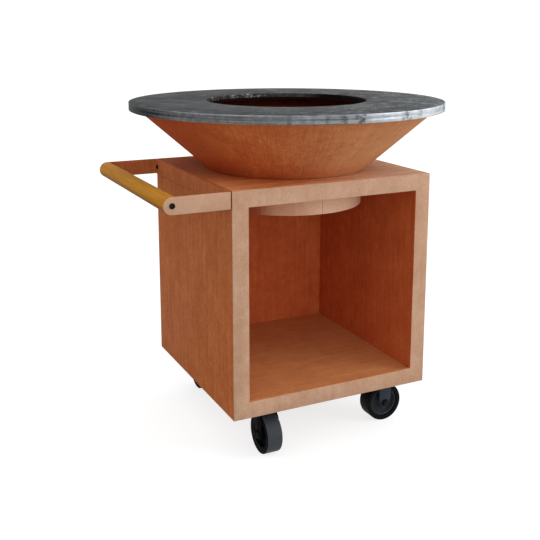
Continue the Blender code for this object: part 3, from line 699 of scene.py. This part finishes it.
def finishLip(frontFrame):
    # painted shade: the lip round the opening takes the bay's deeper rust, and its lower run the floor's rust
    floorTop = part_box("bay_floor")[1].z
    secondFinish(frontFrame, rustBay, lambda centre, normal: abs(normal.y) < facing["sideways"]
                 and atOpening(centre))
    secondFinish(frontFrame, litFloorRust, lambda centre, normal: normal.z > facing["upward"]
                 and atOpening(centre) and centre.z < floorTop + cabinet["lipReach"])


for node, (material, slot) in easedSheets.items():
    sheet = easedCopy(node, cabinet["ease"])
    dress(sheet, "cabinet", slot, material, node)
    if node == "front_frame":
        finishLip(sheet)
for node, material in keptNodes.items():
    paint(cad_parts[node], material)
print("Cabinet made")


# handle
handle = {"thickness": 0.005, "bend": 0.008, "bendSteps": 8, "endSteps": 24, "ease": 0.0009,
          "outerFinish": 0.001, "rodSteps": 96, "rodEase": 0.0015}


def stripPath(low, high, endX):
    # the strip's outer line from above: along the front arm, round both bends and out along the rear arm
    bend, steps = handle["bend"], handle["bendSteps"]
    path = [Vector((endX, low.y, 0))]
    for startAngle, bendY in ((-math.pi / 2, low.y + bend), (0, high.y - bend)):
        for step in range(steps + 1):
            angle = startAngle + math.pi / 2 * step / steps
            path.append(Vector((high.x - bend + bend * math.cos(angle), bendY + bend * math.sin(angle), 0)))
    path.append(Vector((endX, high.y, 0)))
    return path


def makeBracket():
    low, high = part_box("handle_bracket")
    rodLow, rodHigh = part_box("handle_rod")
    rodX, middle = (rodLow.x + rodHigh.x) / 2, (low.z + high.z) / 2
    piece = startPoint("handleBracket", (rodX, low.y, low.z))
    bpy.ops.mesh.extrude_vertices_move(TRANSFORM_OT_translate={"value": (0, 0, high.z - low.z)})
    bpy.ops.mesh.select_all(action="SELECT")
    path = stripPath(low, high, rodX)
    for start, stop in zip(path, path[1:]):
        bpy.ops.mesh.extrude_edges_move(TRANSFORM_OT_translate={"value": stop - start})
    bpy.context.tool_settings.mesh_select_mode = (True, False, False)
    for y in (low.y, high.y):    # each arm's round end, spun from its top corner to its bottom one
        bpy.ops.mesh.select_all(action="DESELECT")
        pickCorners(piece, lambda place: abs(place.x - rodX) < weld and abs(place.y - y) < weld
                    and place.z > middle)
        bpy.ops.mesh.spin(steps=handle["endSteps"], angle=math.pi, center=(rodX, y, middle), axis=(0, 1, 0))
        pickCorners(piece, lambda place: place.x < rodX + weld and abs(place.y - y) < weld)
        bpy.ops.mesh.remove_doubles(threshold=2 * weld)
        bpy.ops.mesh.edge_face_add()
    bpy.ops.mesh.select_all(action="SELECT")
    bpy.ops.mesh.remove_doubles(threshold=2 * weld)
    bpy.ops.mesh.normals_make_consistent(inside=False)
    objectMode()
    backFace = min(piece.data.polygons, key=lambda face: (face.center - Vector((high.x, 0, middle))).length)
    if backFace.normal.x < 0:    # the open strip has no inside, so its back says which way is out
        editMode(piece)
        bpy.ops.mesh.flip_normals()
        objectMode()
    modify(piece, "SOLIDIFY", thickness=handle["thickness"], offset=-1.0, use_even_offset=True)
    easeEdges(piece, handle["ease"], segments=2, cornerAngle=50)
    settle(piece)
    dress(piece, "cabinet", "rusted_front", litStripRust, "handle_bracket")
    armStart = rodX + (high.z - low.z) / 2
    outside = min(-low.y, high.y) - handle["outerFinish"]
    # painted shade: the edges by the bend, the inner faces and the back plate take the sides' deeper rust
    secondFinish(piece, rustSide, lambda centre, normal: abs(normal.y) < facing["edgeways"]
                 and centre.x > armStart or normal.y * centre.y < 0 or abs(centre.y) < outside)


def makeRod():
    low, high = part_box("handle_rod")
    bpy.ops.object.select_all(action="DESELECT")
    bpy.ops.mesh.primitive_cylinder_add(vertices=handle["rodSteps"], radius=(high.x - low.x) / 2,
                                        depth=high.y - low.y, location=(low + high) / 2,
                                        rotation=(math.pi / 2, 0, 0))
    piece = nameAs("handleRod")
    easeEdges(piece, handle["rodEase"], segments=3, cornerAngle=50)
    settle(piece)
    dress(piece, "cabinet", "rod_wood", wood, "handle_rod")


screw = {"head": 0.0085, "height": 0.0045, "shank": 0.004, "socket": 0.0034, "socketDepth": 0.003,
         "dome": ((0, 1), (0.5, 0.99), (0.72, 0.86), (0.88, 0.62), (0.97, 0.34), (1, 0.12), (1, 0)),
         "steps": 48}


def makeScrewPattern(length):
    # a button head with a six-sided socket, on a shank of this length
    head, height, shank = screw["head"], screw["height"], screw["shank"]
    profile = [(head * out, height * up) for out, up in screw["dome"]]
    pattern = turn("screwPattern", profile + [(shank, 0), (shank, -length), (0, -length)], screw["steps"])
    bpy.ops.mesh.primitive_cylinder_add(vertices=6, radius=screw["socket"], depth=2 * screw["socketDepth"],
                                        location=(0, 0, height))
    cutOut(pattern, nameAs("socketCutter"))
    settle(pattern, sharpAngle=35)
    return pattern


def fitScrews(kind, outwards):
    # one pattern, and a copy at the front and the rear whose head looks outward
    low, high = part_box(kind + "_front")
    axis = 1 if outwards["front"].y else 0
    pattern = makeScrewPattern(high[axis] - low[axis] - screw["height"])
    for end, outward in outwards.items():
        node = kind + "_" + end
        low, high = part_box(node)
        foot = (low + high) / 2
        foot[axis] = high[axis] - screw["height"] if outward[axis] > 0 else low[axis] + screw["height"]
        turned = Vector((0, 0, 1)).rotation_difference(outward).to_euler()
        piece = copyOf(pattern, camel(node), foot, turned)
        dress(piece, "cabinet", "black_steel", boltSteel, node)
    bpy.data.objects.remove(pattern)


makeBracket()
makeRod()
fitScrews("rod_screw", {"front": Vector((0, -1, 0)), "rear": Vector((0, 1, 0))})
fitScrews("bracket_bolt", {"front": Vector((-1, 0, 0)), "rear": Vector((-1, 0, 0))})
print("Handle made")


# castors
castor = {"tyreRadius": 0.0625, "tyreWidth": 0.050, "tyreThickness": 0.015, "shoulder": 0.0025,
          "fit": 0.0003, "faceStep": 0.004, "rim": 0.0045, "wellTaper": 0.002, "web": 0.009, "hub": 0.018,
          "hubTaper": 0.003, "bore": 0.0063, "hubFace": 0.0267, "coreEase": 0.0018, "forkEase": 0.0006,
          "boltEase": 0.0005, "webSlack": 0.001, "steps": 96}
cup = {"bore": 0.017, "groove": 0.0018, "footTaper": 0.0022, "shoulder": 0.001,
       "side": (0.3, 0.42), "waist": (0.46, 0.54), "upperSide": (0.58, 0.86)}    # shares of its height


def makeTyrePattern():
    face, outer = castor["tyreWidth"] / 2, castor["tyreRadius"]
    inner = outer - castor["tyreThickness"]
    corners = [(inner, -face), (outer, -face), (outer, face), (inner, face)]
    pattern = turn("tyrePattern", rounded(corners, castor["shoulder"], steps=5), castor["steps"])
    settle(pattern, sharpAngle=40)
    return pattern


def makeCorePattern():
    # rim, well, web and hub, the same on both faces
    rimOuter = castor["tyreRadius"] - castor["tyreThickness"] - castor["fit"]
    well, rimFace = rimOuter - castor["rim"], castor["tyreWidth"] / 2 - castor["faceStep"]
    half = [(castor["bore"], castor["hubFace"]), (castor["hub"], castor["hubFace"]),
            (castor["hub"] + castor["hubTaper"], castor["web"]), (well - castor["wellTaper"], castor["web"]),
            (well, rimFace), (rimOuter, rimFace)]
    profile = half + [(radius, -height) for radius, height in reversed(half)]
    pattern = turn("corePattern", rounded(profile, castor["coreEase"]), castor["steps"])
    settle(pattern, sharpAngle=40)
    return pattern


def makeCupPattern():
    # the pressed cup round the balls, with the groove between its two halves
    low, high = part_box("swivel_race_front_left")
    outer, height = (high.x - low.x) / 2, high.z - low.z
    groove = outer - cup["groove"]
    profile = [(cup["bore"], 0), (outer - cup["footTaper"], 0)]
    for radius, part in ((outer, "side"), (groove, "waist"), (outer, "upperSide")):
        profile += [(radius, height * share) for share in cup[part]]
    profile += [(outer - cup["shoulder"], height), (cup["bore"], height)]
    pattern = turn("cupPattern", profile, castor["steps"])
    settle(pattern)
    return pattern


def fitWheel(corner, tyrePattern, corePattern):
    low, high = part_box("tyre_" + corner)
    centre = (low + high) / 2
    centre.z = low.z + castor["tyreRadius"]
    axleAlongX = high.x - low.x < high.y - low.y
    side = Vector((1, 0, 0)) if axleAlongX else Vector((0, 1, 0))
    turned = (math.pi / 2, 0, math.pi / 2 if axleAlongX else 0)
    tyre = copyOf(tyrePattern, camel("tyre_" + corner), centre, turned)
    tread = litTreadRubber if corner == "front_left" else wallRubber    # painted light: only this lit tread is paler, the other three are dark
    dress(tyre, "wheel_" + corner, "tyre_rubber", tread, "tyre_" + corner)
    secondFinish(tyre, wallRubber, lambda middle, normal: abs(normal @ side) > facing["sideways"])
    core = copyOf(corePattern, camel("wheel_core_" + corner), centre, turned)
    dress(core, "wheel_" + corner, "wheel_plastic", wheelPlastic, "wheel_core_" + corner)
    # painted shade: the recessed web takes the darker well plastic
    wellTop = castor["web"] + castor["webSlack"]    # the web's face and the foot of what rises from it
    secondFinish(core, wheelWell, lambda middle, normal: abs((middle - centre) @ side) < wellTop)
    # painted shade: on a wheel whose face looks left, the left tyre wall and the left half of the core are
    # near black
    if axleAlongX:
        secondFinish(tyre, shadeBlack, lambda middle, normal: normal.x < -facing["sideways"])
        secondFinish(core, shadeBlack, lambda middle, normal: middle.x < centre.x)


def fitFork(corner):
    fork = easedCopy("fork_" + corner, castor["forkEase"])
    # painted light: the front right fork, which faces the light, takes a paler coat
    coat = litForkCoat if corner == "front_right" else coatedSteel
    dress(fork, "swivel_" + corner, "black_steel", coat, "fork_" + corner)
    bolt = easedCopy("axle_bolt_" + corner, castor["boltEase"])
    dress(bolt, "swivel_" + corner, "black_steel", boltSteel, "axle_bolt_" + corner)
    # painted shade: faces that look left are near black
    for piece in (fork, bolt):
        secondFinish(piece, shadeBlack, lambda centre, normal: normal.x < -facing["leftward"])


def fitSwivelHead(corner, cupPattern):
    mounting = easedCopy("castor_plate_" + corner, castor["boltEase"])
    dress(mounting, "cabinet", "black_steel", coatedSteel, "castor_plate_" + corner)
    low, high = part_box("swivel_race_" + corner)
    foot = ((low.x + high.x) / 2, (low.y + high.y) / 2, low.z)
    swivelCup = copyOf(cupPattern, camel("swivel_cup_" + corner), foot)
    dress(swivelCup, "swivel_" + corner, "black_steel", coatedSteel, "swivel_race_" + corner)
    paint(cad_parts["kingpin_" + corner], zincSteel)


tyrePattern, corePattern, cupPattern = makeTyrePattern(), makeCorePattern(), makeCupPattern()
for corner in ("front_left", "front_right", "rear_left", "rear_right"):
    fitWheel(corner, tyrePattern, corePattern)
    fitFork(corner)
    fitSwivelHead(corner, cupPattern)
for pattern in (tyrePattern, corePattern, cupPattern):
    bpy.data.objects.remove(pattern)
print("Castors made")


# stage
stage = {"floorSize": 30.0, "floorMatt": 0.42, "floorGlow": 0.74, "ambient": 0.88}
lamps = {
    "keyLamp": {"place": (3.4, -2.9, 2.1), "target": (0, 0, 0.7), "size": 2.2, "power": 62.0},
    "frontLamp": {"place": (-0.6, -4.2, 0.8), "target": (0, 0, 0.5), "size": 2.0, "power": 26.0},
}
camera = {"lens": 56.029, "sensor": 36, "shift": -0.15, "place": (-1.2279, -2.4048, 1.278), "turn": 25.936,
          "tilt": 10.983}


def seenBy(tree, *kinds):
    # 1 for the kinds of ray that see the backdrop, 0 for those that light the object
    rays = tree.nodes.new("ShaderNodeLightPath")
    seen = Wire(tree, rays.outputs[kinds[0]])
    for kind in kinds[1:]:
        seen = seen.maths("MAXIMUM", seen, Wire(tree, rays.outputs[kind]))
    return seen


def makeFloor():
    bpy.ops.object.select_all(action="DESELECT")
    bpy.ops.mesh.primitive_plane_add(size=stage["floorSize"], location=(0, 0, 0))
    floor = nameAs("studioFloor")
    material = bpy.data.materials.new("paleFloor")
    material.use_nodes = True
    tree = material.node_tree
    tree.nodes.clear()
    seen = seenBy(tree, "Is Camera Ray", "Is Glossy Ray")
    matt = addNode(tree, "ShaderNodeBsdfDiffuse", values={"Color": grey(stage["floorMatt"])})
    light = seen * stage["floorGlow"]
    glow = addNode(tree, "ShaderNodeEmission", values={"Color": grey(1), "Strength": light})
    both = addNode(tree, "ShaderNodeAddShader", values={0: matt, 1: glow})
    output = tree.nodes.new("ShaderNodeOutputMaterial")
    tree.links.new(both.socket, output.inputs["Surface"])
    paint(floor, material)


def makeWorld():
    world = bpy.data.worlds.new("studioWorld")
    bpy.context.scene.world = world
    world.use_nodes = True
    tree = world.node_tree
    tree.nodes.clear()
    seen = seenBy(tree, "Is Camera Ray", "Is Glossy Ray", "Is Transmission Ray")
    strength = stage["ambient"] + seen * (1.0 - stage["ambient"])
    glow = addNode(tree, "ShaderNodeBackground", values={"Color": grey(1), "Strength": strength})
    output = tree.nodes.new("ShaderNodeOutputWorld")
    tree.links.new(glow.socket, output.inputs["Surface"])


def addLamp(name, look):
    bpy.ops.object.light_add(type="AREA", location=look["place"])
    lamp = bpy.context.object
    lamp.name = name
    lamp.data.size = look["size"]
    lamp.data.energy = look["power"]
    direction = Vector(look["target"]) - Vector(look["place"])
    lamp.rotation_euler = direction.to_track_quat("-Z", "Y").to_euler()


def addCamera():
    place = (camera["place"][0] + tableAxis.x, camera["place"][1], camera["place"][2])
    bpy.ops.object.camera_add(location=place, rotation=(math.radians(90 - camera["tilt"]), 0,
                                                        -math.radians(camera["turn"])))
    view = bpy.context.object
    view.name = "photoCamera"
    view.data.lens = camera["lens"]
    view.data.sensor_width = camera["sensor"]
    view.data.shift_y = camera["shift"]
    bpy.context.scene.camera = view
    bpy.context.scene.view_settings.view_transform = "Standard"


makeFloor()
makeWorld()
for name, look in lamps.items():
    addLamp(name, look)
addCamera()
print("Stage made")
